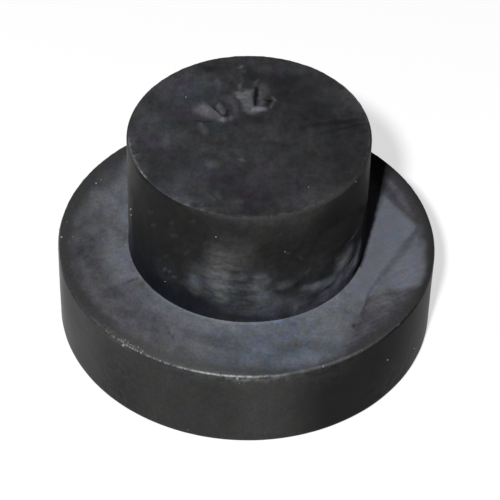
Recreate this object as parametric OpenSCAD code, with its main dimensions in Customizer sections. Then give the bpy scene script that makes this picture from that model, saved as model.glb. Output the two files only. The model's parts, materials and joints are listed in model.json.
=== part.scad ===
// Stepped foot of solid moulded rubber: a round disc with a plain round boss on top.
// The disc stands on the floor, the boss plugs into a tube or a hole above it, and the
// disc's shoulder carries the load. The part is moulded in one piece.
// The origin is the centre of the disc's underside, and +Z runs up through the boss.

/* [Disc] */
// Diameter of the disc
disc_d = 40; // [34:1:60]
// Height of the disc, from the floor to the shoulder
disc_h = 10; // [5:0.1:20]
// Radius of the outer edge that stands on the floor
floor_edge_r = 0.6; // [0.2:0.1:1]
// Radius of the outer edge around the shoulder
shoulder_edge_r = 0.4; // [0.2:0.1:0.5]

/* [Boss] */
// Diameter of the boss, which is that of the hole it plugs into
boss_d = 25; // [20:0.5:30]
// Height of the boss above the shoulder
boss_h = 14.8; // [5:0.1:30]
// Radius of the edge around the boss's end
end_edge_r = 0.4; // [0.2:0.1:1]
// Radius of the fillet where the boss meets the shoulder
root_fillet_r = 0.3; // [0.2:0.1:0.5]

/* [Gate pits] */
// Length of the shallow pit that each torn mould gate left in the boss's end
pit_l = 3.2; // [2.4:0.1:4]
// Width of a pit
pit_w = 1.6; // [1:0.1:2]
// Depth of a pit
pit_depth = 0.35; // [0.1:0.05:0.5]
// Distance from the boss's side in to the first pit's middle
first_pit_inset = 6.7; // [5:0.1:7.6]
// Direction from the axis to the first pit, in degrees from +X
first_pit_angle = 80; // [0:1:359]
// Direction in which the first pit's length runs, in degrees from +X
first_pit_lie = 88; // [0:1:179]
// Distance from the boss's side in to the second pit's middle
second_pit_inset = 7.6; // [5:0.1:7.6]
// Direction from the axis to the second pit, in degrees from +X
second_pit_angle = 129; // [0:1:359]
// Direction in which the second pit's length runs, in degrees from +X
second_pit_lie = 120; // [0:1:179]

/* [Hidden] */
$fn = 128;
disc_r = disc_d / 2;
boss_r = boss_d / 2;
boss_end_z = disc_h + boss_h;

// Radius of the arc that cuts a groove of this width and depth into a flat face
function groove_arc_r(width, depth) = (width * width / 4 + depth * depth) / (2 * depth);

// Half the section of a round post, out from its axis, with both outer corners rounded
module post_section(r, h, low_edge_r, high_edge_r) {
    square([r - low_edge_r, h - high_edge_r]);
    translate([0, low_edge_r]) square([r - high_edge_r, h - low_edge_r]);
    translate([0, low_edge_r]) square([r, h - low_edge_r - high_edge_r]);
    translate([r - low_edge_r, low_edge_r]) circle(low_edge_r);
    translate([r - high_edge_r, h - high_edge_r]) circle(high_edge_r);
}

// Half the section of the boss, which runs down through the disc to the floor
module boss_section() {
    square([boss_r, boss_end_z - end_edge_r]);
    square([boss_r - end_edge_r, boss_end_z]);
    translate([boss_r - end_edge_r, boss_end_z - end_edge_r]) circle(end_edge_r);
}

// The fillet's section, in the corner between the boss and the shoulder
module root_section() {
    translate([boss_r, disc_h])
        difference() {
            square(root_fillet_r);
            translate([root_fillet_r, root_fillet_r]) circle(root_fillet_r);
        }
}

// What a gate pit takes out of a face at z = 0: a shallow trough along X with round ends
module gate_pit() {
    arc_r = groove_arc_r(pit_w, pit_depth);
    half_run = (pit_l - pit_w) / 2;
    translate([0, 0, arc_r - pit_depth]) {
        rotate([0, 90, 0]) cylinder(r = arc_r, h = 2 * half_run, center = true);
        for (end = [-half_run, half_run])
            translate([end, 0, 0]) sphere(arc_r);
    }
}

// A gate pit in its place on the boss's end
module placed_pit(inset, angle, lie) {
    rotate([0, 0, angle])
        translate([boss_r - inset, 0, boss_end_z])
            rotate([0, 0, lie - angle])
                gate_pit();
}

module rubber_foot() {
    color([0.13, 0.13, 0.14])
        difference() {
            rotate_extrude() {
                post_section(disc_r, disc_h, floor_edge_r, shoulder_edge_r);
                boss_section();
                root_section();
            }
            placed_pit(first_pit_inset, first_pit_angle, first_pit_lie);
            placed_pit(second_pit_inset, second_pit_angle, second_pit_lie);
        }
}

rubber_foot();
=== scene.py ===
"""A stepped foot of moulded black rubber, with the bloom, smears, burr and dust of a used one.

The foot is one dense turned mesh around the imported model's axis. Lengths are in millimetres
up to the point where a mesh is made, and MM turns them into metres. Azimuths are in degrees
from +X, so the front, which faces the camera, is at -90.
"""

import json
import math

import bmesh
import bpy
import numpy as np
from mathutils import Matrix, Vector, noise


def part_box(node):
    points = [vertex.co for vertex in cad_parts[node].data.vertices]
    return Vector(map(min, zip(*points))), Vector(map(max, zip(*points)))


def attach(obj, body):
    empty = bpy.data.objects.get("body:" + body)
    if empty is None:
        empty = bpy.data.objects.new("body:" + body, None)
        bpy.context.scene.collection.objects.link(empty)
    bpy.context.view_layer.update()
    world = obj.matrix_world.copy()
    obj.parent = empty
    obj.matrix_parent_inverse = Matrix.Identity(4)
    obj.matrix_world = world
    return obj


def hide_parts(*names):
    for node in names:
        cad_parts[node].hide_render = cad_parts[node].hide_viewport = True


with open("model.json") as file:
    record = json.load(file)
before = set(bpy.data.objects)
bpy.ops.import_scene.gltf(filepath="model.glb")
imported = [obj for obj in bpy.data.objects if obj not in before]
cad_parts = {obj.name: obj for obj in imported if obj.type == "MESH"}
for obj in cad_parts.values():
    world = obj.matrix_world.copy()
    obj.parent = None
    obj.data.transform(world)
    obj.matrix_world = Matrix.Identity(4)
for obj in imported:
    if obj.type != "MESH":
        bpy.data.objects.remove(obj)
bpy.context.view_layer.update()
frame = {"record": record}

# ---------------------------------------------------------------- sizes

MM = 0.001
NODE = "rubber_foot"
BODY = "root"
MOUNTS = {mount["name"]: mount for mount in frame["record"]["mounts"]}
LOW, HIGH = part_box(NODE)
DISC_R = (HIGH.x - LOW.x) / 2 / MM
TOP_Z = HIGH.z / MM
BOSS_R = MOUNTS["boss"]["dims"]["r_mm"]
SHOULDER_Z = MOUNTS["shoulder"]["pos_m"][2] / MM

FLOOR_EDGE_R = 0.6
RIM_R = 0.4
ROOT_R = 0.3
END_EDGE_R = 0.4
ROUND_IN = 0.12  # from the plain section's corner in to the middle of a rounded edge
GATE_RADII = (8.6, 2.4)  # the gates lie between these radii, where the end's rings are closest

SPOKES = 448  # points round each ring of the mesh
SEAM_AZIMUTH = 90  # the mesh's seam runs down the back
SEED = 11

# ---------------------------------------------------------------- formulas for the mesh


def rise(value, low, high):
    """0 at low and 1 at high, smooth between them. All the mesh's formulas take arrays."""
    share = np.clip((value - low) / (high - low), 0, 1)
    return share * share * (3 - 2 * share)


def hump(value, middle, half_width):
    """1 at the middle, falling smoothly to 0 at half_width away on both sides."""
    return 1 - rise(abs(value - middle), 0, half_width)


def along_across(x, y, centre, lie):
    """Distances from centre along the direction lie, in degrees, and to the left of it."""
    c, s = math.cos(math.radians(lie)), math.sin(math.radians(lie))
    dx, dy = x - centre[0], y - centre[1]
    return dx * c + dy * s, dy * c - dx * s


def way_and_length(start, end):
    """The direction from start to end, in degrees, and how far it is."""
    run_x, run_y = end[0] - start[0], end[1] - start[1]
    return math.degrees(math.atan2(run_y, run_x)), math.hypot(run_x, run_y)


def groove(x, y, start, end, width):
    """1 along the line from start to end, fading to 0 at half the width on each side."""
    lie, length = way_and_length(start, end)
    u, v = along_across(x, y, start, lie)
    return 1 - rise(np.hypot(u - np.clip(u, 0, length), v), 0, width / 2)


def direction(azimuth, elevation):
    """The unit vector that points this way, both angles in degrees."""
    turn, lean = math.radians(azimuth), math.radians(elevation)
    flat = math.cos(lean)
    return Vector((math.cos(turn) * flat, math.sin(turn) * flat, math.sin(lean)))


def lumps(places, size, octaves, seed):
    """Noise of about -1 to 1 at each place, with lumps about size across."""
    shift = Vector((13.7, 5.1, 9.2)) * seed
    flat = places.reshape(-1, 3) / size
    found = [noise.fractal(Vector(p) + shift, 1.0, 2.0, octaves) for p in flat]
    return np.array(found).reshape(places.shape[:-1])


# ---------------------------------------------------------------- the foot's mesh

# Each torn gate in the boss's end: middle, direction, length, width
GATES = [((1, 5.5), 88, 3.2, 1.6), ((-3.1, 3.6), 126, 3.2, 1.6)]
GATE_DEPTH = 0.35
END_RISE = (0.0142, 0.0117)  # the boss's end isn't level: its rise to the right and to the back
LIP_HEIGHT = 0.2
NUB_HEIGHT = 0.26
LEDGE_HEIGHT = 0.1
# Folds pressed into the shoulder's skin: start, end, width, depth
FOLDS = [
    ((-11.4, -6.4), (-14.2, -8.2), 0.6, 0.04),
    ((18.3, 2.5), (15.3, -1.5), 0.8, 0.05),
    ((15.3, -1.5), (13.2, -7.8), 0.8, 0.05),
    ((-8, -13.3), (-7.2, -15.2), 0.5, 0.04),
    ((12.5, -8.7), (9.3, -16.3), 0.4, 0.03),
    ((14.9, 7.5), (18.5, 3), 0.4, 0.03),
    ((15, -7.3), (18.4, -6.2), 0.4, 0.03),
    ((-6, 15), (-11.5, 13.6), 0.6, 0.05),
    ((3, 14.2), (8.4, 16.4), 0.5, 0.04),
]


def arc(centre, radius, start, end, steps):
    """Points of a profile and its outward directions, round an arc. Angles are in degrees."""
    turns = np.radians(np.linspace(start, end, steps))
    out = np.stack([np.cos(turns), np.sin(turns)], 1)
    return np.array(centre) + radius * out, out


def straight(start, end, steps, out):
    """The same along a straight stretch, without its two ends, which the arcs hold."""
    share = np.linspace(0, 1, steps + 2)[1:-1, None]
    points = np.array(start) * (1 - share) + np.array(end) * share
    return points, np.tile(np.array(out, float), (steps, 1))


def root_arc(start, end):
    """Part of the fillet at the boss's foot. It is hollow, so its outward way is reversed."""
    points, out = arc((BOSS_R + ROOT_R, SHOULDER_Z + ROOT_R), ROOT_R, start, end, 3)
    return points, -out


# How high the skin's features stand: its long waves, its grain, the torn rim, the end's edge
WAVES = 0.03
GRAIN = 0.01
RIM_FRAY = 0.11
END_FRAY = 0.03
WAVES_LIE = -0.012  # the waves' mean, so that few pass the CAD's faces


def foot_profile():
    """The section's points, outward directions and face of each, from the base's middle up."""
    rim = (DISC_R - RIM_R, SHOULDER_Z - RIM_R)
    top_edge = (BOSS_R - END_EDGE_R, TOP_Z - END_EDGE_R)
    gate_out, gate_in = GATE_RADII
    stretches = [
        ("base", straight((0, 0), (DISC_R - FLOOR_EDGE_R, 0), 13, (0, -1))),
        ("side", arc((DISC_R - FLOOR_EDGE_R, FLOOR_EDGE_R), FLOOR_EDGE_R, -90, 0, 7)),
        ("side", straight((DISC_R, FLOOR_EDGE_R), (DISC_R, rim[1]), 24, (1, 0))),
        ("side", arc(rim, RIM_R, 0, 40, 5)),
        ("shoulder", arc(rim, RIM_R, 48, 90, 5)),
        ("shoulder", straight((rim[0], SHOULDER_Z), (BOSS_R + ROOT_R, SHOULDER_Z), 38, (0, 1))),
        ("shoulder", root_arc(270, 235)),
        ("boss", root_arc(215, 180)),
        ("boss", straight((BOSS_R, SHOULDER_Z + ROOT_R), (BOSS_R, top_edge[1]), 42, (1, 0))),
        ("boss", arc(top_edge, END_EDGE_R, 0, 45, 4)),
        ("end", arc(top_edge, END_EDGE_R, 55, 90, 4)),
        ("end", straight((top_edge[0], TOP_Z), (gate_out, TOP_Z), 9, (0, 1))),
        ("end", straight((gate_out, TOP_Z), (gate_in, TOP_Z), 51, (0, 1))),
        ("end", straight((gate_in, TOP_Z), (0, TOP_Z), 6, (0, 1))),
    ]
    faces = [face for face, (points, _) in stretches for _ in points]
    points = np.concatenate([points for _, (points, _) in stretches])
    outward = np.concatenate([out for _, (_, out) in stretches])
    return points, outward, faces


def gate_relief(x, y, centre, lie, length, width):
    """A torn gate: a pit with a steep left wall and a swollen lip, and a nub and a ledge."""
    u, v = along_across(x, y, centre, lie)
    half, run = width / 2, (length - width) / 2
    over = u - np.clip(u, -run, run)
    pit = 1 - rise(np.hypot(over, v), half * 0.45, half * 1.05)
    steep = rise(v, half * 0.45, half * 0.75)
    floor = pit * (1 - steep) * rise(v, -half * 1.1, half * 0.4)
    lip = rise(v, half * 0.5, half * 0.8) * (1 - rise(v, half * 0.9, half * 3.4))
    lip = lip * (1 - rise(abs(u + 0.2), run * 0.8, run + 1.3))
    nub = hump(u, -run - half * 0.95, 0.55) * hump(v, 0.05, 1.0)
    ledge = hump(u, -run * 0.3, 1.0) * hump(v, -half * 1.35, 0.45)
    return LIP_HEIGHT * lip + NUB_HEIGHT * nub + LEDGE_HEIGHT * ledge - GATE_DEPTH * floor


def foot_relief(places, faces):
    """How far each point of the mesh stands out from the plain turned form, in millimetres."""
    x, y, z = places[..., 0], places[..., 1], places[..., 2]
    azimuth = np.degrees(np.arctan2(y, x))
    on_end = np.array([face == "end" for face in faces])[:, None]
    on_shoulder = np.array([face == "shoulder" for face in faces])[:, None]
    waves = WAVES * lumps(places, 7.0, 2, seed=1) + GRAIN * lumps(places, 1.6, 3, seed=2)
    relief = (waves + WAVES_LIE) * rise(z, 0, 0.5)  # flat on the floor
    for gate in GATES:
        relief = relief + on_end * gate_relief(x, y, *gate)
    for start, end, width, depth in FOLDS:
        relief = relief - on_shoulder * depth * groove(x, y, start, end, width)
    off_rim = np.hypot(np.hypot(x, y) - DISC_R + ROUND_IN, z - SHOULDER_Z + ROUND_IN)
    rim = hump(off_rim, 0, 0.32)
    frayed = 0.3 + 0.7 * rise(azimuth, -165, -135) * (1 - rise(azimuth, -75, -40))
    relief = relief + rim * frayed * RIM_FRAY * (lumps(places, 0.55, 2, seed=3) + 0.15)
    off_edge = np.hypot(np.hypot(x, y) - BOSS_R + ROUND_IN, z - TOP_Z + ROUND_IN)
    return relief + hump(off_edge, 0, 0.3) * END_FRAY * lumps(places, 0.7, 2, seed=4)


def end_lift(places):
    """How far the boss rises above its plain form, in millimetres: nothing at its foot."""
    share = np.clip((places[..., 2] - SHOULDER_Z) / (TOP_Z - SHOULDER_Z), 0, 1)
    return share * (END_RISE[0] * places[..., 0] + END_RISE[1] * places[..., 1])


def turned_places(points):
    """The profile's points turned round the axis, ring by ring."""
    turns = np.radians(SEAM_AZIMUTH + np.arange(SPOKES) * 360 / SPOKES)
    around = np.stack([np.cos(turns), np.sin(turns)], 1)
    places = np.zeros((len(points), SPOKES, 3))
    places[..., :2] = points[:, None, :1] * around
    places[..., 2] = points[:, 1:2]
    return places, around


def foot_mesh(materials):
    """The turned mesh, closed by one point at each end of its axis. Each face has a material."""
    points, outward, faces = foot_profile()
    places, around = turned_places(points)
    relief = foot_relief(places, faces)
    lift = end_lift(places)
    places[..., :2] += relief[..., None] * outward[:, None, :1] * around
    places[..., 2] += relief * outward[:, 1:2] + lift
    rings = len(points)
    poles = [(0, 0, points[0, 1]), (0, 0, places[-1, :, 2].mean())]
    vertices = np.concatenate([places.reshape(-1, 3), poles]) * MM
    here = np.arange(SPOKES)
    after = (here + 1) % SPOKES
    quads = []
    for ring in range(rings - 1):
        a, b = ring * SPOKES, (ring + 1) * SPOKES
        quads += np.stack([a + here, a + after, b + after, b + here], 1).tolist()
    last = (rings - 1) * SPOKES
    base = [(rings * SPOKES, int(j), int(i)) for i, j in zip(here, after)]
    top = [(rings * SPOKES + 1, last + int(i), last + int(j)) for i, j in zip(here, after)]
    mesh = bpy.data.meshes.new("foot")
    mesh.from_pydata(vertices.tolist(), [], quads + base + top)
    names = list(materials)
    for name in names:
        mesh.materials.append(materials[name])
    indices = [names.index(faces[ring]) for ring in range(rings - 1) for _ in here]
    indices += [names.index("base")] * SPOKES + [names.index("end")] * SPOKES
    mesh.polygons.foreach_set("material_index", indices)
    mesh.polygons.foreach_set("use_smooth", [True] * len(mesh.polygons))
    mesh.validate()
    return mesh


# ---------------------------------------------------------------- shader values


class Value:
    """A number or vector that varies over a surface: a node's output. Arithmetic adds nodes."""

    tree = None  # the node tree that is being built

    def __init__(self, socket):
        self.socket = socket

    @classmethod
    def node(cls, kind, inputs, output=0, **settings):
        """Adds a node, sets it up, links or sets its inputs, and returns one output."""
        made = cls.tree.nodes.new(kind)
        for name, setting in settings.items():
            setattr(made, name, setting)
        for name, given in inputs.items():
            if isinstance(given, Value):
                cls.tree.links.new(given.socket, made.inputs[name])
            else:
                made.inputs[name].default_value = given
        return cls(made.outputs[output])

    @classmethod
    def maths(cls, operation, *given):
        return cls.node("ShaderNodeMath", dict(enumerate(given)), operation=operation)

    @classmethod
    def vector(cls, operation, *given, output="Vector"):
        inputs = dict(enumerate(given))
        return cls.node("ShaderNodeVectorMath", inputs, output, operation=operation)

    def __add__(self, other):
        return self.maths("ADD", self, other)

    def __sub__(self, other):
        return self.maths("SUBTRACT", self, other)

    def __rsub__(self, other):
        return self.maths("SUBTRACT", other, self)

    def __mul__(self, other):
        return self.maths("MULTIPLY", self, other)

    __radd__ = __add__
    __rmul__ = __mul__


def dot(vector, other):
    return Value.vector("DOT_PRODUCT", vector, other, output="Value")


def length_of(vector):
    return Value.vector("LENGTH", vector, output="Value")


def ramp(value, low, high, first=0.0, last=1.0):
    """first up to low and last from high on, smooth between them."""
    inputs = {"Value": value, "From Min": low, "From Max": high, "To Min": first, "To Max": last}
    return Value.node("ShaderNodeMapRange", inputs, interpolation_type="SMOOTHSTEP", clamp=False)


def fall(value, low, high):
    """1 at low and 0 at high, smooth between them."""
    return ramp(value, low, high, 1.0, 0.0)


def mix(share, low, high):
    """low where share is 0, high where it is 1."""
    return low + share * (high - low)


def either(*shares):
    """The highest of several shares."""
    top = shares[0]
    for share in shares[1:]:
        top = Value.maths("MAXIMUM", top, share)
    return top


def blend(share, low, high):
    """Mixes two colours, each a value or a triple."""
    made = Value.tree.nodes.new("ShaderNodeMix")
    made.data_type = "RGBA"
    for socket, given in ((made.inputs[0], share), (made.inputs[6], low), (made.inputs[7], high)):
        if isinstance(given, Value):
            Value.tree.links.new(given.socket, socket)
        else:
            socket.default_value = (*given, 1.0)
    return Value(made.outputs[2])


def new_material(name):
    """A new material, in whose tree the next values are made, and its shader."""
    material = bpy.data.materials.new(name)
    material.use_nodes = True
    Value.tree = material.node_tree
    return material, material.node_tree.nodes["Principled BSDF"]


def clouds(at, size, detail=4.0, roughness=0.55):
    """Noise from 0 to 1, mostly near 0.5, whose lumps are about size millimetres across."""
    inputs = {"Vector": at, "Scale": 1 / size, "Detail": detail, "Roughness": roughness}
    return Value.node("ShaderNodeTexNoise", inputs)


def shifted(flat, at, reach, size):
    """Moves flat places by noise of up to about reach, so that what is drawn has uneven edges."""
    inputs = {"Vector": at, "Scale": 1 / size, "Detail": 2.0}
    offset = Value.node("ShaderNodeTexNoise", inputs, "Color")
    middle = Value.vector("SUBTRACT", flat, (reach, reach, 0))
    return Value.vector("MULTIPLY_ADD", offset, (2 * reach, 2 * reach, 0), middle)


def framed(flat, middle, lie, scale=(1, 1)):
    """Flat places measured from middle along the direction lie, in steps of scale."""
    turn = math.radians(lie)
    parts = {}
    for axis, angle, step in (("X", turn, scale[0]), ("Y", turn + math.pi / 2, scale[1])):
        way = Vector((math.cos(angle), math.sin(angle))) / step
        way_and_start = (*way, -way.dot(Vector(middle)))
        parts[axis] = dot(flat, way_and_start)
    return Value.node("ShaderNodeCombineXYZ", parts)


def oval(flat, middle, half, lie=0, soft=0.8):
    """1 in an oval of these half lengths, whose first one lies at lie degrees, fading to 0."""
    return fall(length_of(framed(flat, middle, lie, half)), 1 - soft, 1 + soft)


def streak(flat, start, end, width, soft=0.8):
    """1 along the line from start to end, fading to 0 past half the width on each side."""
    lie, length = way_and_length(start, end)
    middle = ((start[0] + end[0]) / 2, (start[1] + end[1]) / 2)
    local = Value.vector("ABSOLUTE", framed(flat, middle, lie))
    beyond = Value.vector("SUBTRACT", local, (length / 2, 0, 0))
    off = length_of(Value.vector("MAXIMUM", beyond, (0, 0, 0)))
    return fall(off, width / 2 * (1 - soft), width / 2 * (1 + soft))


def patch(flat, corners, soft):
    """1 inside a convex outline whose corners run anticlockwise, and 0 outside."""
    inside = 1.0
    for start, end in zip(corners, corners[1:] + corners[:1]):
        run = (Vector(end) - Vector(start)).normalized()
        left = Vector((-run.y, run.x))
        line = left.dot(Vector(start))
        inside = ramp(dot(flat, (*left, 0)), line - soft, line + soft) * inside
    return inside


def ovals(flat, rows, soft=0.8):
    """The sum of ovals. A row is a middle, two half lengths, a direction and a strength."""
    return sum(strength * oval(flat, *row, soft) for *row, strength in rows)


def streaks(flat, rows, soft=0.8):
    """The sum of streaks. A row is a start, an end, a width and a strength."""
    return sum(strength * streak(flat, *row, soft) for *row, strength in rows)


class Place:
    """Where a shading point is, in millimetres, and the way round in degrees.

    A flat place is two lengths and a 1, which lets one dot product measure it from anywhere.
    """

    def __init__(self):
        metres = Value.node("ShaderNodeTexCoord", {}, "Object")
        inputs = {0: metres, "Scale": 1 / MM}
        self.at = Value.node("ShaderNodeVectorMath", inputs, operation="SCALE")
        self.cloud = Value.vector("MULTIPLY", self.at, (1, 0.75, 0.75))  # for longer clouds
        split = (Value.node("ShaderNodeSeparateXYZ", {0: self.at}, axis) for axis in "XYZ")
        x, self.y, self.z = split
        self.flat = Value.node("ShaderNodeCombineXYZ", {"X": x, "Y": self.y, "Z": 1.0})
        self.radius = length_of(Value.vector("MULTIPLY", self.at, (1, 1, 0)))
        upright = (-END_RISE[0], -END_RISE[1], 1)  # square to the boss's end
        self.top = dot(self.at, upright) - TOP_Z
        self.azimuth = Value.maths("ARCTAN2", x, 0 - self.y) * math.degrees(1) - 90

    def near(self, azimuth, half_width):
        """1 at this azimuth, falling smoothly to 0 at half_width degrees to each side."""
        return fall(Value.maths("ABSOLUTE", self.azimuth - azimuth), 0.0, half_width)

    def wall(self, radius, foot):
        """Millimetres round a wall from its front, to the right, and up from its foot."""
        around = (self.azimuth + 90) * (math.radians(1) * radius)
        return Value.node("ShaderNodeCombineXYZ", {"X": around, "Y": self.z - foot, "Z": 1.0})


# ---------------------------------------------------------------- rubber

# A colour is one of these times the tone, which is how much light comes back.
GREY = (1.0, 1.0, 1.01)
COOL_GREY = (0.99, 1.0, 1.06)
BLOOM_GREY = (0.98, 1.0, 1.11)
TINTS = {
    "olive": (1.01, 1.02, 0.93),
    "blue": (0.84, 1.00, 1.26),
    "navy": (0.72, 0.92, 1.46),
    "violet": (1.1, 0.94, 1.2),
}
CHALK = (0.4, 0.41, 0.43)
HUE_SPREAD = Vector((0.18, 0.06, 0.42))  # how far red, green and blue wander on their own


def rubber(name, paint, gloss, roughness=0.55):
    """A rubber material. paint(place) gives its tone, and how much of each tint and chalk.

    It may also give the bare colour under the tints, and from 0 to 1 how much gloss a place loses,
    which the painters use as painted shade, and how calm: free of grain and of wandering hues.
    """
    material, shader = new_material(name)
    place = Place()
    marks = paint(place)
    grain = clouds(place.cloud, 0.3, 2, 0.7)
    colour = marks.get("bare", GREY)
    for seed, (tint, target) in enumerate(TINTS.items()):
        if tint in marks:
            moved = Value.vector("ADD", place.cloud, (0, 0, 9.0 * seed + 4))
            uneven = ramp(clouds(moved, 1.1, 3, 0.6), 0.34, 0.64)
            colour = blend(marks[tint] * (0.4 + 0.85 * uneven), colour, target)
    hues = {"Vector": place.cloud, "Scale": 0.8, "Detail": 2.0}
    hues = Value.node("ShaderNodeTexNoise", hues, "Color")
    hues = Value.vector("MULTIPLY_ADD", hues, HUE_SPREAD, Vector((1, 1, 1)) - HUE_SPREAD / 2)
    hued = Value.vector("MULTIPLY", colour, hues)
    contrast = 0.8
    if "calm" in marks:
        hued = blend(marks["calm"], hued, colour)
        contrast = contrast * (1 - marks["calm"])
    bright = Value.maths("MAXIMUM", marks["tone"], 0.001) * (1 + contrast * (grain - 0.5))
    inputs = {0: hued, "Scale": bright}
    colour = Value.node("ShaderNodeVectorMath", inputs, operation="SCALE")
    if "chalk" in marks:
        colour = blend(marks["chalk"], colour, CHALK)
    rough = roughness + 0.12 * (grain - 0.5)
    height = 0.5 * grain + clouds(place.at, 0.9, 3)
    inputs = {"Height": height, "Strength": 0.3, "Distance": 0.03 * MM}
    normal = Value.node("ShaderNodeBump", inputs)
    for socket, value in (("Base Color", colour), ("Roughness", rough), ("Normal", normal)):
        Value.tree.links.new(value.socket, shader.inputs[socket])
    shader.inputs["Specular IOR Level"].default_value = gloss
    if "dull" in marks:
        left = gloss * (1 - marks["dull"])
        Value.tree.links.new(left.socket, shader.inputs["Specular IOR Level"])
    return material


def mottled(place, tone, coarse, fine):
    """A tone broken up by clouds of two sizes, each with its own contrast."""
    tone = tone * (1 - 0.5 * coarse + coarse * clouds(place.cloud, 2.6, 4, 0.6))
    return tone * (1 - 0.5 * fine + fine * clouds(place.cloud, 0.9, 3, 0.6))


def rim_fray(p):
    """Pale torn skin along the disc's upper edge: a line at the front, a haze to its left."""
    off_r = p.radius - (DISC_R - ROUND_IN)
    off_z = p.z - (SHOULDER_Z - ROUND_IN)
    off = Value.maths("SQRT", off_r * off_r + off_z * off_z)
    torn = clouds(p.at, 0.4, 3, 0.7)
    front = p.near(-95, 23)
    left = p.near(-122, 26)
    line = (0.03 + 0.75 * front + 0.2 * left) * ramp(torn + 0.16 * front, 0.4, 0.66)
    hazy = 0.15 * p.near(-130, 14) + 0.06 * p.near(-98, 24)
    haze = hazy * fall(off, 0.08, 0.75) * ramp(torn, 0.4, 0.68)
    soft_line = 0.12 * fall(off, 0.02, 0.28) * p.near(-64, 28) * (0.5 + torn)
    return fall(off, 0.02, 0.15) * line + haze + soft_line


# ---- the boss's end. Places are x, y, and strengths are changes of tone.

END_TONE = 0.028
END_SHADES = [
    ((-6.2, 6.8), (3, 2.4), 25, 0.016),
    ((-3.6, 8.5), (1.2, 0.8), -50, 0.006),
    ((-9.6, 4.2), (1.6, 3), 15, 0.006),
    ((-9.4, -0.9), (1.9, 2.4), 80, 0.01),
    ((-8.5, -1.6), (0.5, 1), 0, 0.014),
    ((-9.4, 2.2), (0.7, 0.4), 40, 0.014),
    ((-5.8, -6.6), (3, 1.8), -35, 0.01),
    ((-7.4, -8.8), (2.2, 0.9), -35, 0.01),
    ((-3.5, -4.8), (0.7, 0.6), 0, 0.022),
    ((-2.9, -9.2), (0.9, 0.3), -60, 0.014),
    ((-3.8, -9.6), (0.6, 0.3), -50, 0.012),
    ((-1.1, -10.2), (0.5, 0.4), 0, 0.012),
    ((2.2, 0.3), (2.2, 1.1), -30, 0.007),
    ((1.9, -0.6), (0.8, 0.4), -40, 0.006),
    ((6.2, -9.6), (3, 1.3), 25, 0.008),
    ((8.3, -8), (1.6, 1.2), 30, -0.006),
    ((10.8, 5.6), (2.6, 0.9), -60, 0.014),
    ((9.4, -2.4), (2.4, 1.9), 30, -0.011),
    ((10.3, 1.4), (1.5, 1.7), 0, -0.007),
    ((-2.9, 5.1), (1.2, 0.6), 10, 0.012),
    ((-1.9, 4.4), (0.4, 1.2), 20, 0.012),
    ((0.6, 2.1), (1.7, 0.6), 0, -0.009),
    ((4.9, 6.4), (3.4, 2.2), -10, -0.006),
    ((8.2, 0.6), (2.2, 1.2), 20, -0.007),
    ((6.3, 2.8), (2.2, 1.5), 0, -0.008),
    ((8.4, 6.2), (1.6, 1.2), 0, 0.005),
    ((4.4, 10.3), (1.8, 0.9), 0, 0.006),
    ((-5.6, -2.4), (2.4, 1.5), 0, 0.005),
    ((-1.4, -3), (3, 2), 0, 0.005),
    ((-3.2, -7.2), (1.3, 1), 0, -0.013),
    ((10.4, -5.8), (1.8, 1.4), 0, -0.009),
    ((0.2, -11.4), (1.6, 0.6), 0, -0.006),
    ((-0.5, -4.1), (0.36, 0.12), 0, 0.035),
    ((-11.2, 3), (0.9, 2.6), 15, 0.012),
    ((-9.3, 7.4), (1.4, 0.8), 50, 0.014),
    ((-7, 1.4), (1.2, 1), 0, -0.006),
    ((3.4, 5.6), (1, 2.6), 0, -0.005),
    ((0.8, -9.6), (1.8, 1.2), 0, -0.009),
    ((-2.8, -5), (0.8, 0.7), 0, -0.007),
    ((-2.6, -9), (0.9, 0.7), 0, -0.008),
    ((-5, -9.4), (1, 0.8), 0, 0.006),
    ((4.4, 4.8), (4.6, 3.6), -20, -0.003),
    ((3.4, 8.6), (1.6, 0.9), 20, -0.006),
    ((-0.3, 8.9), (1.5, 0.5), 88, -0.008),
    ((-4.7, 10.2), (0.9, 0.6), 20, -0.008),
    ((-7.9, -5.3), (1.2, 0.8), 0, -0.008),
    ((-8.3, -2.8), (1, 0.7), 30, -0.006),
    ((-1.05, 10.5), (0.22, 0.2), 0, 0.04),
    ((-0.7, 9.6), (0.18, 0.3), 0, 0.016),
    ((-7, 5.95), (0.35, 0.3), 0, 0.016),
    ((-6.7, 7.3), (0.2, 0.4), -20, 0.014),
]
END_STREAKS = [
    ((-4.2, 10), (-1.9, 7.2), 1, -0.009),
    ((-1, 10.3), (-0.95, 7.6), 0.35, 0.007),
    ((-3.5, 8.2), (-3.4, 5.9), 0.35, 0.012),
    ((5.6, 1.1), (12.2, 2.7), 0.7, -0.007),
    ((7.2, 0.1), (12, 1.7), 0.5, -0.006),
    ((8.4, -0.6), (11.6, 0.7), 0.45, -0.004),
    ((7.4, 2.5), (12, 3.6), 0.45, -0.003),
    ((-5.6, 1.75), (-3.8, 1.65), 0.35, -0.01),
    ((-5, 1.3), (-4.6, -0.1), 0.6, 0.02),
    ((-1.95, 5.4), (-1.7, 2.4), 1, 0.012),
    ((-8, 2.2), (-6, -1.7), 0.5, 0.004),
]
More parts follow.
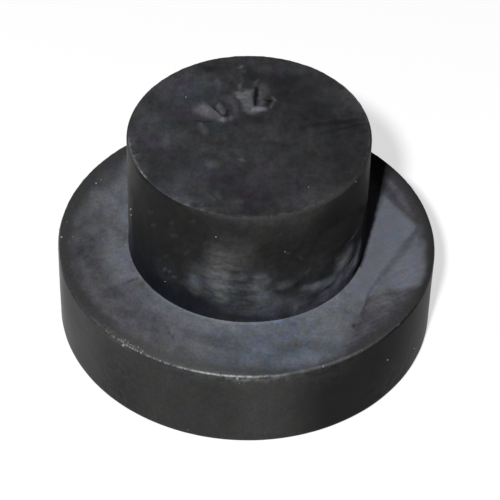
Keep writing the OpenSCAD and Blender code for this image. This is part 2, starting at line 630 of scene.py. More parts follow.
END_VIOLET = [
    ((-7.2, 7.6), (1.1, 0.8), 0, 0.7),
    ((-6.6, 2.9), (1.5, 0.7), 0, 1),
    ((-4.5, 2.4), (1, 0.5), -20, 0.6),
    ((-9.6, -1.4), (1.2, 0.9), 0, 0.7),
    ((2.35, 2.9), (0.45, 1), 10, 1.1),
    ((5.3, 1.2), (1.1, 0.7), 0, 0.5),
    ((-3.6, -7.2), (1.4, 0.9), 0, 0.9),
    ((0.6, -9.3), (2, 1.1), 10, 0.7),
    ((1.7, -5.2), (0.8, 1.2), 20, 0.6),
    ((4.4, -8), (1.8, 1.2), 0, 0.5),
    ((-1, -5.4), (1.6, 1), 30, 0.4),
    ((-1.9, 4), (0.6, 1.6), 0, 0.5),
    ((2.6, 8.6), (0.7, 0.6), 0, 0.6),
]
END_BLUE = [
    ((-6, 6.2), (2.6, 2.6), 20, 0.6),
    ((3.9, 9), (1.4, 0.9), 0, 0.8),
    ((-3, 0.6), (1.4, 0.9), 0, 0.7),
    ((-5, -6), (2.6, 1.6), -30, 0.7),
    ((-7.6, -8.4), (2.2, 1), -35, 0.6),
    ((-9.4, 0), (2, 2.6), 0, 0.4),
]

# The torn gates' pale stretched lobes, as outlines, and what is drawn on and around them
RIGHT_LOBE = [(-1.75, 6.2), (-1.1, 4.5), (-0.4, 3), (0.45, 2.8), (0.3, 6.8), (-0.6, 6.8)]
LEFT_LOBE = [(-6, 3.5), (-5.2, 2.5), (-2.7, 1.6), (-2.5, 2.2), (-4, 4.1), (-5, 4.7)]
# Pale flecks of torn skin, and bright lips that are painted highlight
GATE_PALE_AND_HIGHLIGHT = [
    ((0.4, 3.5), (1.4, 3.6), 0.7, 0.06),
    ((0.8, 3.55), (1.5, 3.7), 0.35, 0.035),
    ((2.3, 5.6), (2.55, 5.1), 0.35, 0.03),
    ((2.55, 5.1), (2.2, 4.1), 0.35, 0.026),
    ((1.3, 6), (1.3, 7.3), 0.9, 0.03),
    ((0.9, 5.8), (0.95, 6.6), 0.3, 0.02),
    ((0.5, 7.8), (0.6, 8.3), 0.3, 0.024),
    ((-1.1, 7), (-1.15, 7.4), 0.35, 0.036),
    ((0.95, 4.4), (1.25, 5.1), 0.7, 0.034),
    ((-3.3, 4.4), (-2.85, 3.5), 0.5, 0.044),
    ((-3.3, 3), (-2.9, 2.6), 0.4, 0.02),
    ((-2.9, 1.9), (-2.45, 1.95), 0.4, 0.04),
    ((-1.8, 2.3), (-1.95, 1.9), 0.3, 0.02),
    ((-2.66, 2.25), (-2.62, 2.55), 0.24, 0.25),
]
# Dark slits and steps: painted shade
GATE_SHADE = [
    ((0.6, 7), (0.46, 4.5), 0.38, 0.62),
    ((1.5, 5.35), (2, 4.95), 0.3, 0.4),
    ((2, 4.95), (1.8, 4.4), 0.55, 0.5),
    ((-0.85, 6.4), (-0.7, 6.45), 0.35, 0.6),
    ((-1.6, 5.6), (-0.95, 4.3), 0.25, 0.3),
    ((-4, 4.4), (-3.1, 3.2), 0.26, 0.55),
    ((-2.4, 3.5), (-2.35, 2.85), 0.42, 0.6),
    ((-1.6, 2), (-1.4, 1.3), 0.5, 0.25),
]


def gate_marks(flat, tone, torn):
    """The torn gates' marks: pale stretched lobes and flecks, dark slits of painted shade, bright
    lips of painted highlight.
    """
    uneven = 0.35 + 1.3 * torn
    right_lobe = patch(flat, RIGHT_LOBE, 0.4) * either(0.62, oval(flat, (-0.7, 5.9), (1.1, 0.9)))
    left_lobe = patch(flat, LEFT_LOBE, 0.5) * either(0.7, oval(flat, (-4.7, 3.6), (1.0, 0.8), -40))
    tone = tone + (0.086 * right_lobe + 0.082 * left_lobe + streaks(flat, GATE_PALE_AND_HIGHLIGHT)) * uneven
    return tone * (1 - streaks(flat, GATE_SHADE, 0.7))


def end_edge_wear_and_highlight(p):
    """Pale, broken worn skin round the boss's end, partly a painted highlight on its rounded edge:
    at the left, the front and the back.
    """
    edge = ramp(p.radius + 0.5 * (clouds(p.cloud, 1.2, 3) - 0.5), BOSS_R - 0.45, BOSS_R - 0.15)
    left = 0.05 * p.near(-168, 22) + 0.11 * p.near(-149, 7)
    front = 0.016 * p.near(-85, 70) + 0.024 * p.near(40, 100)
    wide = 0.022 * p.near(-118, 24) + 0.02 * p.near(-166, 24)
    wide = wide + 0.006 * p.near(-56, 20)
    uneven = 2.0 * ramp(clouds(p.at, 0.8, 3, 0.7), 0.3, 0.7)
    return (edge * (left + front) + ramp(p.radius, BOSS_R - 1.9, BOSS_R - 0.5) * wide) * uneven


def paint_end(p):
    """The boss's end: mottled, bluish at the left, violet at the front, pale around the gates."""
    flat = shifted(p.flat, p.at, 0.7, 1.6)
    crisp = shifted(shifted(p.flat, p.at, 0.3, 1.2), p.at, 0.14, 0.35)
    tone = END_TONE + ovals(flat, END_SHADES) + streaks(flat, END_STREAKS, 1.0)
    tone = mottled(p, tone, 1.0, 1.3)
    tone = gate_marks(crisp, tone, clouds(p.at, 0.5, 3, 0.6)) + end_edge_wear_and_highlight(p)
    blue = 0.06 + 0.85 * ovals(flat, END_BLUE)
    violet = 0.06 + 1.25 * ovals(flat, END_VIOLET)
    return {"tone": tone, "bare": COOL_GREY, "blue": blue, "violet": violet}


# ---- the boss's wall. Places are millimetres round from the front, and up from the shoulder.

BOSS_SHADES = [
    ((-1.3, 9.6), (1.9, 1.8), 0, 0.022),
    ((-3.6, 4.7), (0.9, 0.9), 0, 0.016),
    ((-3, 7.9), (1.1, 1.8), -8, 0.044),
    ((-2.6, 5.2), (1.1, 1.5), 0, 0.074),
    ((-2.9, 3.4), (1.1, 0.9), 0, 0.04),
    ((-0.9, 7.2), (1.1, 1.2), 0, 0.022),
    ((-0.5, 5.4), (1.4, 1.4), 0, 0.028),
    ((-0.7, 3.4), (1.2, 0.9), 0, 0.02),
    ((-5.4, 4.2), (0.9, 1.1), 20, 0.05),
    ((-5, 6.2), (1.2, 1.2), 30, 0.024),
    ((1.4, 5.9), (0.8, 1.1), -8, 0.058),
    ((1.5, 4), (1.1, 1.1), 0, 0.056),
    ((-0.8, 2), (1.8, 0.7), 0, 0.012),
    ((3.4, 9.6), (1.4, 2.2), 0, -0.006),
    ((1.2, 9.4), (0.8, 1.2), 0, -0.005),
    ((-9, 4.2), (1.8, 1.6), 0, 0.008),
    ((8.6, 5.8), (2.2, 1.2), 0, 0.009),
    ((11.7, 4.7), (1.2, 1.1), 0, 0.05),
    ((9.6, 8.2), (2.2, 1.8), 0, 0.008),
    ((14.2, 6.8), (1.1, 1.2), 0, 0.008),
    ((-15.8, 13.8), (1.8, 2.2), 0, 0.026),
    ((2.4, 2.9), (1.6, 0.8), 0, 0.022),
    ((3.9, 4.9), (1.1, 0.5), -8, 0.038),
    ((3.6, 3.2), (1.4, 0.8), 0, 0.018),
    ((4.2, 1.6), (3, 0.9), 0, 0.026),
    ((4.9, 1.4), (1.1, 0.8), 0, 0.012),
    ((1.4, 1.7), (1.6, 0.7), 0, 0.016),
    ((5.4, 1.4), (0.26, 0.55), 0, 0.045),
    ((8.6, 1.3), (0.7, 0.6), 0, 0.045),
    ((10.9, 1.9), (0.8, 0.8), 0, 0.045),
    ((10.5, 5.3), (0.3, 0.5), 0, 0.03),
    ((11.8, 2.4), (2.6, 2), 0, 0.04),
    ((14, 2.4), (1.8, 1.8), 0, 0.044),
    ((8, 2.2), (2.6, 1.6), 0, 0.028),
    ((9, 0.5), (3, 0.5), 0, 0.02),
    ((5.3, 4.5), (0.4, 0.3), 0, -0.014),
    ((7.1, 2), (0.7, 0.4), 0, -0.02),
    ((6.1, 2.1), (0.3, 0.3), 0, -0.014),
    ((6.5, 9.6), (2, 2), 0, -0.005),
    # Painted sheen: a pale band down the wall's far left edge stands for its reflection
    ((-18.2, 8), (2, 7.5), 0, 0.07),
    ((-1, 14.4), (4, 0.7), 0, 0.008),
    ((16.8, 13.6), (0.9, 1.4), 0, 0.05),
]
BOSS_STREAKS = [
    ((6.3, 3.7), (7.8, 3.4), 0.8, 0.034),
    ((7.8, 3.3), (9.7, 2.85), 1, 0.062),
    ((9.2, 2.2), (10.2, 2.2), 0.5, -0.034),
    ((10.8, 3.9), (11.7, 4.2), 1.1, 0.03),
    ((11.5, 4.2), (12.7, 5), 1.2, 0.044),
    ((12.7, 3.1), (13.6, 3.5), 0.4, -0.04),
    ((13.6, 3.5), (14.2, 4.2), 0.35, -0.026),
    ((12.8, 1.8), (14.5, 2), 1, 0.05),
    ((14.3, 2), (15.4, 3.5), 0.9, 0.06),
    ((14.1, 0.7), (16.7, 0.4), 0.6, -0.03),
    ((11.9, 6.2), (13.2, 6.4), 0.35, 0.016),
    ((13.2, 6.4), (14.3, 6.8), 0.3, 0.026),
]
BOSS_FLECKS = [
    ((-11.5, 10.5), (-10.9, 10.9), 0.34, 0.014),
    ((-10.9, 9.1), (-10.4, 9.6), 0.34, 0.017),
    ((-8.3, 11.2), (-7.8, 11.6), 0.32, 0.012),
    ((-8.1, 9.7), (-7.5, 10.1), 0.32, 0.016),
    ((-5.8, 12.8), (-5.3, 13), 0.32, 0.012),
    ((-6.5, 8.1), (-6, 8.5), 0.32, 0.011),
    ((-9, 6), (-8.4, 6.5), 0.32, 0.01),
    ((-9.3, 4), (-8.8, 4.5), 0.32, 0.03),
    ((-8.4, 4.3), (-8.2, 4.5), 0.28, 0.034),
    ((-7.8, 3.9), (-7.4, 4.1), 0.28, 0.026),
    ((-7, 3.6), (-6.7, 3.7), 0.24, 0.022),
    ((-10.2, 4.9), (-9.6, 5.4), 0.2, 0.01),
    ((-4.3, 10.1), (-3.8, 10.7), 0.34, 0.01),
    ((4.1, 9.5), (4.4, 9.4), 0.24, 0.02),
    ((3.2, 12.1), (3.5, 12.2), 0.22, 0.012),
    ((5.3, 8.6), (5.7, 8.2), 0.28, 0.016),
    ((6.4, 6), (6.9, 6.3), 0.34, 0.012),
]
# The wall's right part, as an outline, and the band that runs up from it to the left, as streaks:
# both lose their gloss as painted shade
SHADED_PART = [(15.2, -1), (20, -1), (20, 5), (17.6, 8.8), (16, 7.6), (15, 4)]
SHADED_BAND = [
    ((9.4, 11.2), (12.6, 10.2), 1.6, 0.3),
    ((12.6, 10.2), (14.6, 9.2), 1.5, 0.5),
    ((14.6, 9.2), (16.8, 7.3), 1.7, 0.8),
]


def brushed(wall, at):
    """Level strokes that thin the pale smears, strongest between the two brightest ones."""
    stretched = Value.vector("MULTIPLY", shifted(wall, at, 0.5, 3.0), (0.35, 1.3, 1))
    lines = ramp(clouds(stretched, 1.0, 3, 0.65), 0.4, 0.58)
    where = either(0.5, oval(wall, (-0.4, 5.6), (1.5, 2.8), 0, 0.5))
    return 1 - 0.8 * where * (1 - lines)


def boss_foot(p):
    """How far a place is in the left part of the wall's foot, and in the foot at all."""
    height = p.z - SHOULDER_Z + 1.6 * (clouds(p.cloud, 1.6, 3) - 0.5)
    foot = fall(height, 1.8, 3.5)
    return foot * fall(p.azimuth, -112, -98), foot


def paint_boss(p):
    """The boss's wall: bare and dark, with chalky smears, flecks and a blue-black foot."""
    wall = p.wall(BOSS_R, SHOULDER_Z)
    moved = shifted(shifted(wall, p.at, 0.5, 1.3), p.at, 0.16, 0.4)
    # Painted shade: from the right round to the back the bare wall is nearly black
    right = ramp(p.azimuth, -62, -42) * fall(p.azimuth, 40, 80)
    tone = 0.011 + 0.008 * p.near(-84, 50)
    behind = ramp(p.y, 0.0, 5.0)
    cloudy = ramp(clouds(p.at, 5.0, 4, 0.6), 0.5, 0.7)
    tone = mix(right, tone, 0.003) + 0.03 * behind * cloudy
    tone = tone + 0.012 * ramp(p.top, -2.6, -0.4) * p.near(-66, 38)
    smeared = ovals(moved, BOSS_SHADES) * brushed(wall, p.at)
    smeared = smeared + streaks(shifted(wall, p.at, 0.25, 1.6), BOSS_STREAKS, 1.0)
    tone = mottled(p, tone + smeared, 1.0, 1.1)
    navy, foot = boss_foot(p)
    tone = tone * (1 - 0.24 * navy) + 0.8 * streaks(moved, BOSS_FLECKS, 1.0)
    # The rounded top edge is paler: partly worn skin, partly painted highlight
    worn_and_highlit_edge = ramp(p.top, -0.65, -0.22) * p.near(-55, 75)
    tone = mix(worn_and_highlit_edge, tone, 0.034)
    blue = either(0.9 * foot * fall(p.azimuth, -30, 0), 0.8 * oval(moved, (-5.3, 4.0), (1.4, 1.2)))
    blue = either(blue, 0.7 * oval(moved, (8.4, 2.8), (2.6, 1.6), -15, 0.6))
    blue = either(blue, 0.45 * fall(p.z, SHOULDER_Z + 4, SHOULDER_Z + 8))
    violet = either(oval(moved, (12.2, 4.6), (1.8, 1.2)), oval(moved, (14.6, 2.5), (1.4, 1.6)))
    violet = either(0.5 * violet, 0.4 * oval(moved, (4.4, 1.6), (2.6, 1.2)), 0.3 * foot)
    olive = 0.35 * fall(p.z, TOP_Z, SHOULDER_Z + 3)
    # Less gloss at the right and in the band above it: painted shade
    dull = either(0.55 * ramp(p.azimuth, -50, -25), 0.9 * patch(wall, SHADED_PART, 0.8))
    dull = either(dull, *(streaks(wall, [row], 0.9) for row in SHADED_BAND)) * (1 - worn_and_highlit_edge)
    tints = {"olive": olive, "blue": blue, "navy": 0.8 * navy, "violet": violet}
    return {"tone": tone, "dull": dull, **tints}


# ---- the shoulder. Places are x, y.

SHOULDER_SHADES = [
    ((-13.8, -3.6), (2.6, 1.3), 100, 0.026),
    ((-13.4, 5), (2.4, 1), 88, 0.014),
    ((-13.4, 0.2), (1.6, 1.2), 90, -0.02),
    ((-2.4, -13), (1.6, 0.6), -10, 0.03),
    ((6.6, -11.6), (1.8, 0.6), 30, 0.022),
    ((-5.2, -14.2), (1.4, 0.8), -20, -0.018),
    ((11.4, -6.4), (1, 0.6), 60, 0.018),
    ((-14, 9.2), (2.6, 1.1), 60, 0.006),
    ((-17, 0), (5, 1.6), 90, -0.026),
    ((-12, -8), (2.2, 0.8), 20, -0.024),
    ((-12.6, -9.6), (1.8, 0.8), -25, -0.014),
    ((-12, -11.6), (2.2, 0.9), -40, -0.01),
    ((-9.8, -12.2), (1.6, 0.9), -40, -0.022),
    ((-8.6, -10.4), (2.2, 0.7), -45, 0.016),
    ((-8.4, -13.4), (1.4, 0.7), -30, -0.012),
    ((-5.6, -15), (1.2, 0.9), -20, 0.012),
    ((-2.7, -15.2), (1.8, 0.8), -8, -0.02),
    ((1, -13.6), (3, 0.8), 0, 0.006),
    ((1.4, -15.6), (1.4, 0.8), 0, 0.008),
    ((5.4, -14.4), (1.6, 0.8), 20, 0.008),
    ((6.1, -17.2), (2.4, 0.8), 17, 0.034),
    ((9, -13.4), (2, 1.4), 50, 0.026),
    ((5.2, -15.6), (1.2, 0.6), 10, -0.01),
    ((-2.6, -16.7), (1.4, 0.5), 0, 0.008),
    ((0.4, -17.6), (0.8, 0.8), 80, 0.012),
    ((-10.8, -13.8), (1, 0.6), 0, -0.008),
    ((5, -12.5), (0.4, 0.3), 0, -0.045),
    ((11.2, -12.4), (0.3, 0.3), 0, -0.04),
    ((-12.3, -6.1), (0.9, 0.4), 20, 0.02),
    ((-16.8, 3), (2.2, 1), 90, 0.012),
    ((12.6, -14.4), (1.8, 0.5), 35, -0.014),
    ((14.6, -12.6), (1.6, 0.5), 50, -0.01),
    ((-6, -12), (1.8, 0.5), -25, 0.016),
    ((-15.6, -4.2), (3, 0.9), 105, -0.022),
    ((14.6, -8.6), (1, 0.6), 0, 0.022),
    ((-15.2, 1), (1.4, 0.9), 90, -0.014),
    ((15.6, 8.2), (1.3, 0.6), -40, -0.014),
]
SHOULDER_STREAKS = [
    ((-11.2, -6.4), (-12.2, -7), 0.3, -0.03),
    ((-12.2, -7), (-14.6, -8.3), 0.5, -0.014),
    ((-8, -13.3), (-7.2, -15), 0.3, -0.024),
    ((-9.4, -10.6), (-9.8, -13.6), 0.3, 0.016),
    ((-14.2, -9.4), (-11.6, -11), 0.4, 0.012),
    ((-15.8, -10.2), (-12.2, -13.2), 0.4, 0.012),
    ((-19.2, -3.3), (-18.6, -5), 0.22, 0.03),
    ((-18.6, -5), (-16.5, -8.5), 0.22, 0.018),
    ((-6, 15), (-11.5, 13.6), 0.5, -0.02),
    ((3, 14.2), (8.4, 16.4), 0.4, -0.016),
]

# In places the bloom lies in slabs with straight edges. Each is an outline.
SLAB = [(11, -9.4), (13, -8.6), (18.1, 2.6), (14.5, 7.6), (11, 8.5)]
FAN = [(13.7, -7.2), (18.8, -6.3), (19.8, 2), (18.4, 2.6), (15.6, -1.6)]
BEYOND = [(18.2, 2.8), (20.5, 4), (17, 13), (13, 12), (14.6, 7.7)]
WEDGE = [(12.7, -8.2), (10.3, -16.4), (14, -16), (19, -8), (18.8, -6.5)]
CORNER = [(-20, 5), (-14.4, 8.4), (-13.4, 14), (-20, 14)]
# The boss's shadow falls here. It is nearly black in the photo, and the plain light leaves it
# grey, so the rubber is made darker by this share.
CAST_DEPTH = 0.8
CAST = [
    (6, -4), (12.1, -4), (13.1, 0.2), (14.25, 6.2), (14.65, 8.7), (15.3, 13),
    (13.9, 15.5), (9, 15.5),
]
STRIPE = [  # the grey fold between SLAB and FAN: start, end, width
    ((18.5, 2.7), (17.3, 0.2), 0.6),
    ((17.3, 0.2), (15.8, -2.7), 0.8),
    ((15.8, -2.7), (14.3, -4.8), 0.7),
    ((14.3, -4.8), (12.9, -7.6), 0.4),
    ((12.9, -7.6), (12.1, -10.6), 0.25),
]


def right_shoulder(crisp, tone):
    """Flat slabs of bloom at the right with straight edges, a grey fold and a dull wedge.

    Gives the new tone, and how far a place is in the wedge, in a slab, and beyond the slabs.
    """
    slab = patch(crisp, SLAB, 0.45)
    tone = mix(slab, tone, 0.132)
    fan = patch(crisp, FAN, 0.35)
    tone = mix(fan, tone, 0.112 + 0.034 * oval(crisp, (16.8, -4.2), (1.7, 2.8), 0, 0.9))
    beyond = patch(crisp, BEYOND, 0.4)
    tone = mix(beyond, tone, 0.052 + 0.03 * streak(crisp, (15.6, 9.6), (17.4, 5.4), 0.9))
    wedge = patch(crisp, WEDGE, 0.3)
    tone = mix(wedge, tone, 0.064 + 0.018 * oval(crisp, (14.0, -8.6), (1.7, 1.2), 20, 0.9))
    lined = ramp(clouds(framed(crisp, (0, 0), 36, (2.8, 0.5)), 1.0, 2), 0.38, 0.62)
    tone = tone * (1 - either(wedge, 0.4 * fan) * (0.26 * lined - 0.1))
    stripe = either(*(streak(crisp, *row, 0.7) for row in STRIPE))
    return tone * (1 - 0.27 * stripe), wedge, either(slab, fan), beyond


def paint_shoulder(p):
    """The shoulder: cloudy blue-grey bloom, dull in patches and worn off along the rim."""
    flat = shifted(p.flat, p.at, 0.6, 1.8)
    crisp = shifted(p.flat, p.at, 0.2, 1.0)
    behind = ramp(p.y, 8.0, 12.0)
    large = ramp(clouds(p.at, 5.0, 3), 0.35, 0.65)
    tone = mix(ramp(p.radius, 12.6, 18.6), 0.12, 0.088)
    tone = tone - 0.014 * p.near(-150, 50)
    tone = tone + 0.05 * behind * (large - 0.6)
    tone, wedge, slab, beyond = right_shoulder(crisp, tone)
    tone = mix(patch(crisp, CORNER, 0.6), tone, 0.056)
    calm = 1 - 0.6 * slab
    tone = mottled(p, tone, 0.8 * calm, 0.9 * calm) + streaks(crisp, SHOULDER_STREAKS)
    tone = tone + ovals(flat, SHOULDER_SHADES)
    bloom_r = 18.1 + 1.1 * p.near(-68, 24) + 0.8 * p.near(-14, 20)
    worn = ramp(p.radius + 1.4 * (clouds(p.at, 1.5, 3) - 0.5) - bloom_r, -0.2, 1.0)
    dusty = p.near(-108, 44)
    tone = mix(worn, tone, 0.038 + 0.032 * dusty)
    # Painted shade: the rim is darker at the right, turned away from the lamp
    shaded_rim = ramp(p.radius, 18.8, 20.0) * ramp(p.azimuth, -45, -15) * fall(p.azimuth, 50, 90)
    tone = tone * (1 - 0.45 * shaded_rim)
    # Painted shadow: where the boss's shadow falls the rubber is darker, and dull takes its gloss
    # away
    painted_shadow = patch(crisp, CAST, 0.25) * fall(p.azimuth, 44, 64)
    tone = tone * (1 - CAST_DEPTH * painted_shadow)
    near = fall(p.radius + 1.0 * clouds(p.at, 2.0, 2), 13.4, 17.5)
    front = p.near(-78, 38)
    blue = either(0.4 * near, 1.0 * front * (1 - 0.9 * wedge), 0.85 * slab)
    blue = blue * (1 - 0.7 * worn) * ramp(clouds(p.cloud, 1.3, 3), 0.28, 0.55)
    violet = either(0.35 * beyond, 0.3 * wedge, 0.34 * slab, 0.2 * p.near(-150, 40))
    violet = violet * ramp(clouds(p.cloud, 1.1, 2), 0.3, 0.6)
    tints = {"olive": 0.5 * worn, "blue": blue, "violet": violet, "chalk": rim_fray(p)}
    return {"tone": tone, "bare": BLOOM_GREY, "dull": painted_shadow, "calm": 0.5 * slab, **tints}


# ---- the disc's wall and base


def paint_side(p):
    """The disc's wall: smooth dull grey, darker at the right (painted shade), a painted sheen at
    the left, pale frayed rubber on its edge.
    """
    # Painted shade: the wall is darker at the right, turned away from the lamp
    right = ramp(p.azimuth, -80, -62) * fall(p.azimuth, -40, -5)
    # Painted sheen: the pale band down the far left edge (0.16 at -176) is a painted reflection
    left = 0.008 * p.near(-146, 16) + 0.16 * p.near(-176, 16)
    left = left - 0.008 * ramp(p.z, 4, 9) * p.near(-156, 14)
    tone = 0.029 - 0.022 * right + 0.007 * p.near(-86, 14) + left
    dust = 0.012 * ramp(p.z, SHOULDER_Z - 2.4, SHOULDER_Z - 0.5) * p.near(-92, 28)
    under_rim = ramp(p.z, SHOULDER_Z - 1.2, SHOULDER_Z - 0.2)
    dust = dust + 0.07 * under_rim * p.near(-86, 16)
    dust = dust + 0.014 * ramp(p.z, SHOULDER_Z - 4, SHOULDER_Z) * p.near(-66, 16)
    right_foot = fall(p.z, 1, 7) * ramp(p.azimuth, -56, -34) * fall(p.azimuth, -10, 20)
    dust = dust + 0.013 * right_foot - 0.012 * fall(p.z, 5, 10) * p.near(-130, 14)
    left_foot = 0.024 * fall(p.z, 2, 7) * p.near(-160, 14)
    tone = tone + left_foot + dust * ramp(clouds(p.at, 0.8, 3), 0.34, 0.6)
    upright = Value.vector("MULTIPLY", p.at, (1, 1, 0.3))
    tone = tone * (0.84 + 0.32 * clouds(upright, 1.8, 3, 0.6))
    tone = mottled(p, tone, 0.5, 0.3)
    olive = 0.3 * ramp(clouds(p.at, 3.0, 3), 0.4, 0.65)
    # Less gloss at the right: painted shade as well
    dull = 0.5 * ramp(p.azimuth, -66, -44) * fall(p.azimuth, 0, 60)
    return {"tone": tone, "olive": olive, "chalk": rim_fray(p), "dull": dull}


def paint_base(p):
    """The underside: plain, dull and a little dusty."""
    return {"tone": mottled(p, 0.034 + 0.02 * clouds(p.at, 6.0, 3), 0.6, 0.5)}


def paint_crumb(p):
    """Crumbs of torn skin and dust, pale and uneven."""
    return {"tone": 0.1 + 0.3 * clouds(p.at, 0.15, 2)}


PAINTS = {  # each face's painter, gloss and roughness
    "base": (paint_base, 0.05, 0.55),
    "side": (paint_side, 0.05, 0.46),
    "shoulder": (paint_shoulder, 0.03, 0.55),
    "boss": (paint_boss, 0.045, 0.55),
    "end": (paint_end, 0.03, 0.55),
}
CRUMB_GLOSS = 0.03


# ---------------------------------------------------------------- crumbs

# Widths are as the photo shows them. Its blur widens them, so the crumbs are made narrower.
REAL_WIDTH = 0.75
RIM_CRUMBS = [  # on the rim's rounded edge: azimuth, width
    (-134.8, 0.18), (-131.2, 0.16), (-125.2, 0.16), (-124.3, 0.26), (-122.4, 0.22),
    (-121.3, 0.2), (-118.8, 0.24), (-116.9, 0.16), (-114.8, 0.26), (-113.2, 0.24),
    (-108.6, 0.3), (-107, 0.22), (-104.5, 0.24), (-101, 0.26), (-97.5, 0.26),
    (-94, 0.24), (-89, 0.22), (-86.5, 0.28), (-83.8, 0.2), (-66.2, 0.3),
    (-58, 0.12), (-38.2, 0.08), (-37.5, 0.11), (-36.9, 0.08), (178.1, 0.24),
    (-179, 0.12),
]
END_SPECKS = [  # on the boss's end: x, y, width
    (-6.65, 5.35, 0.24), (6, -7.9, 0.16), (10.7, -6.9, 0.14), (11, -3.6, 0.1),
]
SHOULDER_SPECKS = [  # on the shoulder: the same
    (-16.5, 8, 0.24), (-16, 8.6, 0.16), (-18.4, -0.5, 0.14), (-19.2, 1.8, 0.14),
    (-19.6, -0.6, 0.26), (1.2, -12.7, 0.12), (-0.4, -12.75, 0.2), (0.4, -12.8, 0.12),
    (-9.8, -8.2, 0.2), (-12.7, -1.5, 0.16), (-12.6, 3.7, 0.2), (-11.5, -16, 0.12),
    (9.5, -8.7, 0.14), (-12.7, 4.2, 0.12),
]
BOSS_SPECKS = [  # on the boss's wall: azimuth, height above the wall's foot, width
    (-104, 11.7, 0.2), (-163, 7.2, 0.26), (-162.4, 6.5, 0.24), (-131, 2.6, 0.12),
    (-72, 9.7, 0.14),
]
SIDE_SPECKS = [  # on the disc's wall: the same
    (-127.4, 9.78, 0.36), (-91.5, 9.78, 0.4), (-42, 6, 0.2), (-26, 3, 0.2),
    (-106, 0.9, 0.16), (-144, 7.8, 0.14), (-91, 9, 0.1),
]
RIM_PLACE = (DISC_R - 0.1, SHOULDER_Z - 0.1, 45)  # radius, height and the edge's tilt


def scattered_crumbs(rng):
    """Crumbs placed by chance: round the whole rim, along its torn front and in the root."""
    for azimuth in rng.uniform(-180, 180, 30):
        yield azimuth, *RIM_PLACE, rng.uniform(0.05, 0.09)
    for azimuth in rng.uniform(-135, -78, 40):
        yield azimuth, *RIM_PLACE, rng.uniform(0.06, 0.14)
    for azimuth in rng.uniform(-129.5, -119, 16):
        yield azimuth, DISC_R - rng.uniform(0.2, 0.6), SHOULDER_Z, 90, rng.uniform(0.06, 0.18)
    for azimuth in rng.uniform(-100, -76, 14):
        yield azimuth, BOSS_R + 0.25, SHOULDER_Z, 90, rng.uniform(0.05, 0.1)


def crumb_places(rng):
    """Each crumb's azimuth, radius, height, the tilt of the face it is on, and its width."""
    found = [(azimuth, *RIM_PLACE, width) for azimuth, width in RIM_CRUMBS]
    found += scattered_crumbs(rng)
    for specks, z in ((END_SPECKS, TOP_Z), (SHOULDER_SPECKS, SHOULDER_Z)):
        for x, y, width in specks:
            found.append((math.degrees(math.atan2(y, x)), math.hypot(x, y), z, 90, width))
    for specks, radius, foot in ((BOSS_SPECKS, BOSS_R, SHOULDER_Z), (SIDE_SPECKS, DISC_R, 0)):
        for azimuth, height, width in specks:
            found.append((azimuth, radius, foot + height, 0, width))
    return found


def crumb_mesh(material):
    """Small uneven closed grains, each sunk about a third into the rubber."""
    rng = np.random.default_rng(SEED)
    shape = bmesh.new()
    for azimuth, radius, z, tilt, seen_width in crumb_places(rng):
        width = REAL_WIDTH * seen_width
        turn, up = math.radians(azimuth), direction(azimuth, tilt)
        middle = Vector((math.cos(turn) * radius, math.sin(turn) * radius, z))
        middle += up * (width * 0.12)
        grain = bmesh.ops.create_icosphere(shape, subdivisions=2, radius=width / 2)["verts"]
        stretch = Vector(rng.uniform(0.7, 1.25, 3).tolist())
        spin = Matrix.Rotation(rng.uniform(0, 6.28), 3, "Z")
        spin = up.to_track_quat("Z", "Y").to_matrix() @ spin
        offset = Vector(rng.uniform(0, 90, 3).tolist())
        for corner in grain:
            bulge = 1 + 0.35 * noise.noise(corner.co * (3 / width) + offset)
            local = Vector(a * b for a, b in zip(corner.co * bulge, stretch))
            corner.co = (spin @ local + middle) * MM
    mesh = bpy.data.meshes.new("crumbs")
    shape.to_mesh(mesh)
    shape.free()
    mesh.materials.append(material)
    mesh.polygons.foreach_set("use_smooth", [True] * len(mesh.polygons))
    return mesh


# ---------------------------------------------------------------- stage, light and camera

CAMERA_AT = (0.0, -174.9, 177.2)
CAMERA_AIM = (0.4, 0.0, 8.29)
CAMERA_ROLL = 1.63
LENS = 164.1  # on Blender's 36 mm sensor

KEY_AZIMUTH = -102
KEY_ELEVATION = 46
KEY_AWAY = 600
KEY_ACROSS = 40
KEY_POWER = 3.9  # watts
WORLD_LIGHT = 0.2
FLOOR_HALF = 3.0  # metres
FLOOR_GREY = 0.45
FLOOR_GLOW = 0.6  # lifts the lit floor to white where it is seen, and lights nothing


def look_at(place, aim, roll=0.0):
    """The matrix of a lamp or camera at place that faces aim. Both are in millimetres."""
    place, aim = Vector(place) * MM, Vector(aim) * MM
    turn = (aim - place).to_track_quat("-Z", "Y").to_matrix().to_4x4()
    return Matrix.Translation(place) @ turn @ Matrix.Rotation(math.radians(roll), 4, "Z")


def link(name, data, matrix=None):
    made = bpy.data.objects.new(name, data)
    bpy.context.scene.collection.objects.link(made)
    if matrix is not None:
        made.matrix_world = matrix
    return made


def add_camera():
    camera = bpy.data.cameras.new("camera")
    camera.lens = LENS
    camera.clip_start, camera.clip_end = 0.01, 20
    bpy.context.scene.camera = link("camera", camera, look_at(CAMERA_AT, CAMERA_AIM, CAMERA_ROLL))


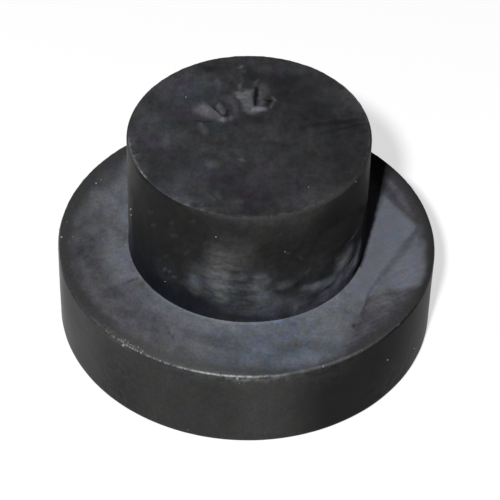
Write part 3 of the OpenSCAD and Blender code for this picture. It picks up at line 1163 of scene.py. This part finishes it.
def add_key():
    """A small soft lamp a little to the left of the camera."""
    lamp = bpy.data.lights.new("key", "AREA")
    lamp.shape = "DISK"
    lamp.size = KEY_ACROSS * MM
    lamp.energy = KEY_POWER
    middle = Vector((0, 0, SHOULDER_Z))
    place = middle + direction(KEY_AZIMUTH, KEY_ELEVATION) * KEY_AWAY
    link("key", lamp, look_at(place, middle))


def seen_path():
    """1 on rays from the camera, off a gloss or through glass, and 0 on those that light."""
    names = ("Is Camera Ray", "Is Glossy Ray", "Is Transmission Ray")
    camera, glossy, through = (Value.node("ShaderNodeLightPath", {}, name) for name in names)
    return either(camera, glossy, through)


def set_world():
    """A world that is seen as white, and lights with only a share of that."""
    world = bpy.data.worlds.new("studio")
    world.use_nodes = True
    Value.tree = world.node_tree
    background = world.node_tree.nodes["Background"]
    background.inputs["Color"].default_value = (1, 1, 1, 1)
    strength = WORLD_LIGHT + (1 - WORLD_LIGHT) * seen_path()
    world.node_tree.links.new(strength.socket, background.inputs["Strength"])
    bpy.context.scene.world = world


def add_floor():
    """A plain pale floor that shows white around the object and keeps its shadow."""
    material, shader = new_material("floor")
    shader.inputs["Base Color"].default_value = (FLOOR_GREY, FLOOR_GREY, FLOOR_GREY, 1)
    shader.inputs["Roughness"].default_value = 0.9
    shader.inputs["Specular IOR Level"].default_value = 0.0
    shader.inputs["Emission Color"].default_value = (1, 1, 1, 1)
    glow = FLOOR_GLOW * seen_path()
    material.node_tree.links.new(glow.socket, shader.inputs["Emission Strength"])
    half = FLOOR_HALF
    corners = [(-half, -half), (half, -half), (half, half), (-half, half)]
    mesh = bpy.data.meshes.new("floor")
    mesh.from_pydata([(x, y, LOW.z) for x, y in corners], [], [(0, 1, 2, 3)])
    mesh.materials.append(material)
    link("floor", mesh)


# ---------------------------------------------------------------- the scene


def main():
    add_camera()
    add_key()
    set_world()
    add_floor()
    materials = {name: rubber(f"rubber_{name}", *given) for name, given in PAINTS.items()}
    foot = link("moulded_foot", foot_mesh(materials))
    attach(foot, BODY)
    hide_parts(NODE)
    crumbs = link("edge_crumbs", crumb_mesh(rubber("crumb", paint_crumb, CRUMB_GLOSS)))
    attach(crumbs, BODY)
    bpy.context.scene.view_settings.view_transform = "Standard"


main()
